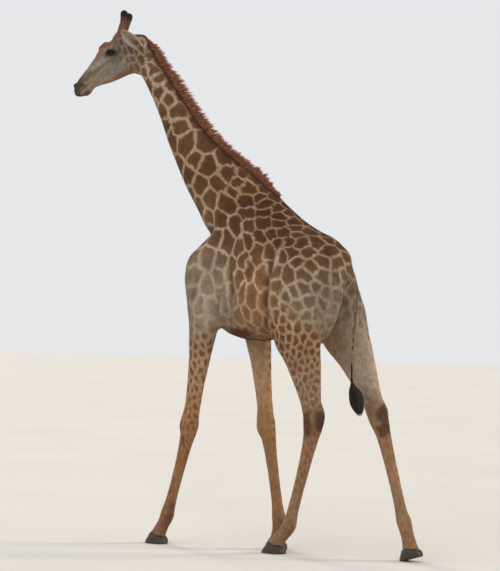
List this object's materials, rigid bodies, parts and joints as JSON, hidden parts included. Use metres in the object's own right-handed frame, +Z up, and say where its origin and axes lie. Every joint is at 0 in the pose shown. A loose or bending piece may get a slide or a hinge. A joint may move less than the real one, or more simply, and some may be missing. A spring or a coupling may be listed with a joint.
{
  "type": "giraffe figure",
  "caption": "Life-size still figure of a walking giraffe, for a museum or natural scene, with patched coat, upright mane and tufted tail.",
  "frame": {"origin": "on the floor, under the middle of the model's box", "axes": "+Z up, the animal faces -X, its left side towards -Y"},
  "size_m": [3.1422, 0.6892, 4.334],
  "materials": {
    "coat": "short matt hair, brown patches on pale tan",
    "mane_hair": "stiff upright hair, rust brown",
    "tuft_hair": "long coarse hair, black",
    "hoof": "dark worn horn, satin",
    "horn": "short hair over bone, dark hairy tips",
    "eye": "dark, wet and glossy"
  },
  "bodies": {
    "root": {"ear_left": "coat", "ear_right": "coat", "eye_left": "eye", "eye_right": "eye", "fore_left_claw_left": "hoof", "fore_left_claw_right": "hoof", "fore_left_foot": "coat", "fore_left_lower_leg": "coat", "fore_left_upper_leg": "coat", "fore_right_claw_left": "hoof", "fore_right_claw_right": "hoof", "fore_right_foot": "coat", "fore_right_lower_leg": "coat", "fore_right_upper_leg": "coat", "head": "coat", "hind_left_claw_left": "hoof", "hind_left_claw_right": "hoof", "hind_left_foot": "coat", "hind_left_lower_leg": "coat", "hind_left_upper_leg": "coat", "hind_right_claw_left": "hoof", "hind_right_claw_right": "hoof", "hind_right_foot": "coat", "hind_right_lower_leg": "coat", "hind_right_upper_leg": "coat", "horn_left": "horn", "horn_right": "horn", "mane": "mane_hair", "neck": "coat", "tail": "coat", "tail_tuft": "tuft_hair", "trunk": "coat"}
  },
  "joints": []
}
